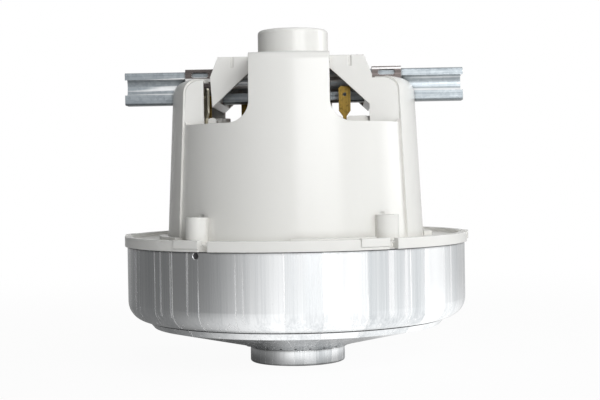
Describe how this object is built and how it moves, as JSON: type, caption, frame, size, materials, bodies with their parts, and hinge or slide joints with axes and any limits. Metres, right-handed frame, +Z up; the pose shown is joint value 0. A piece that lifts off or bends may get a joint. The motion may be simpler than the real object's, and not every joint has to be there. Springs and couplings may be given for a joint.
{
  "type": "vacuum motor unit",
  "caption": "Upright suction motor of a vacuum cleaner: white motor housing with cooling windows and side brush tubes on a round drawn metal fan cover with a central inlet collar.",
  "frame": {"origin": "on the shaft axis, at the lower rim of the inlet collar, which the unit stands on", "axes": "+Z up the shaft from the inlet to the upper bearing, X along the brush tubes, -Y the pictured front"},
  "size_m": [0.145, 0.144, 0.1394],
  "materials": {
    "white_plastic": "moulded, softly glossy",
    "drawn_sheet": "bright zinc-plated drawn sheet with fine draw lines",
    "plated_steel": "zinc-plated folded sheet",
    "bare_steel": "plain machined or drawn steel",
    "iron_stack": "stacked steel laminations",
    "copper": "enamelled copper wire and bare copper bars",
    "brass": "stamped brass",
    "fan_aluminium": "rolled sheet",
    "carbon": "pressed carbon, matte",
    "dark_resin": "moulded phenolic resin",
    "rubber": "matte"
  },
  "bodies": {
    "frame": {"motor_housing": "white_plastic", "bearing_bracket": "white_plastic", "fan_cover": "drawn_sheet", "inlet_collar": "drawn_sheet", "diffuser": "white_plastic", "diffuser_screws": "bare_steel", "housing_screws": "bare_steel", "stator_core": "iron_stack", "stator_screws": "bare_steel", "upper_insulator": "white_plastic", "lower_insulator": "white_plastic", "field_coil_front": "copper", "field_coil_rear": "copper", "brush_tube_left": "plated_steel", "brush_tube_right": "plated_steel", "tube_clip_left": "plated_steel", "tube_clip_right": "plated_steel", "tube_plate_left": "plated_steel", "tube_plate_right": "plated_steel", "brush_spring_left": "bare_steel", "brush_spring_right": "bare_steel", "brush_braid_left": "copper", "brush_braid_right": "copper", "mains_tab_front": "brass", "mains_tab_rear": "brass", "brush_tab_left": "brass", "brush_tab_right": "brass", "brush_link_left": "brass", "brush_link_right": "brass", "lower_outer_ring": "bare_steel", "lower_shields": "bare_steel", "upper_outer_ring": "bare_steel", "upper_shields": "bare_steel", "bearing_damper": "rubber", "preload_washer": "bare_steel"},
    "rotor": {"shaft": "bare_steel", "armature_core": "iron_stack", "armature_discs": "dark_resin", "armature_winding": "copper", "commutator_bars": "copper", "commutator_hub": "dark_resin", "lower_inner_ring": "bare_steel", "upper_inner_ring": "bare_steel", "fan_spacer": "bare_steel", "fan_back_plate": "fan_aluminium", "fan_front_plate": "fan_aluminium", "fan_blades": "fan_aluminium", "fan_washer": "bare_steel", "fan_nut": "bare_steel"},
    "lower_balls": {"lower_balls": "bare_steel"},
    "upper_balls": {"upper_balls": "bare_steel"},
    "brush_left": {"brush_left": "carbon"},
    "brush_right": {"brush_right": "carbon"}
  },
  "joints": [
    {"name": "rotor_spin", "type": "hinge", "parent": "frame", "child": "rotor", "pos_m": [0, 0, 0.08], "axis": [0, 0, 1], "continuous": true},
    {"name": "lower_balls_orbit", "type": "hinge", "parent": "frame", "child": "lower_balls", "pos_m": [0, 0, 0.0533], "axis": [0, 0, 1], "continuous": true},
    {"name": "upper_balls_orbit", "type": "hinge", "parent": "frame", "child": "upper_balls", "pos_m": [0, 0, 0.132], "axis": [0, 0, 1], "continuous": true},
    {"name": "brush_left_slide", "type": "slide", "parent": "frame", "child": "brush_left", "axis": [-1, 0, 0], "range_m": [0, 0.01], "stiffness_N_per_m": 130, "springref_m": -0.025, "deforming": ["brush_spring_left", "brush_braid_left"]},
    {"name": "brush_right_slide", "type": "slide", "parent": "frame", "child": "brush_right", "axis": [1, 0, 0], "range_m": [0, 0.01], "stiffness_N_per_m": 130, "springref_m": -0.025, "deforming": ["brush_spring_right", "brush_braid_right"]}
  ],
  "couplings": [
    {"joint": "lower_balls_orbit", "follows": "rotor_spin", "ratio": 0.36933},
    {"joint": "upper_balls_orbit", "follows": "rotor_spin", "ratio": 0.36933}
  ]
}
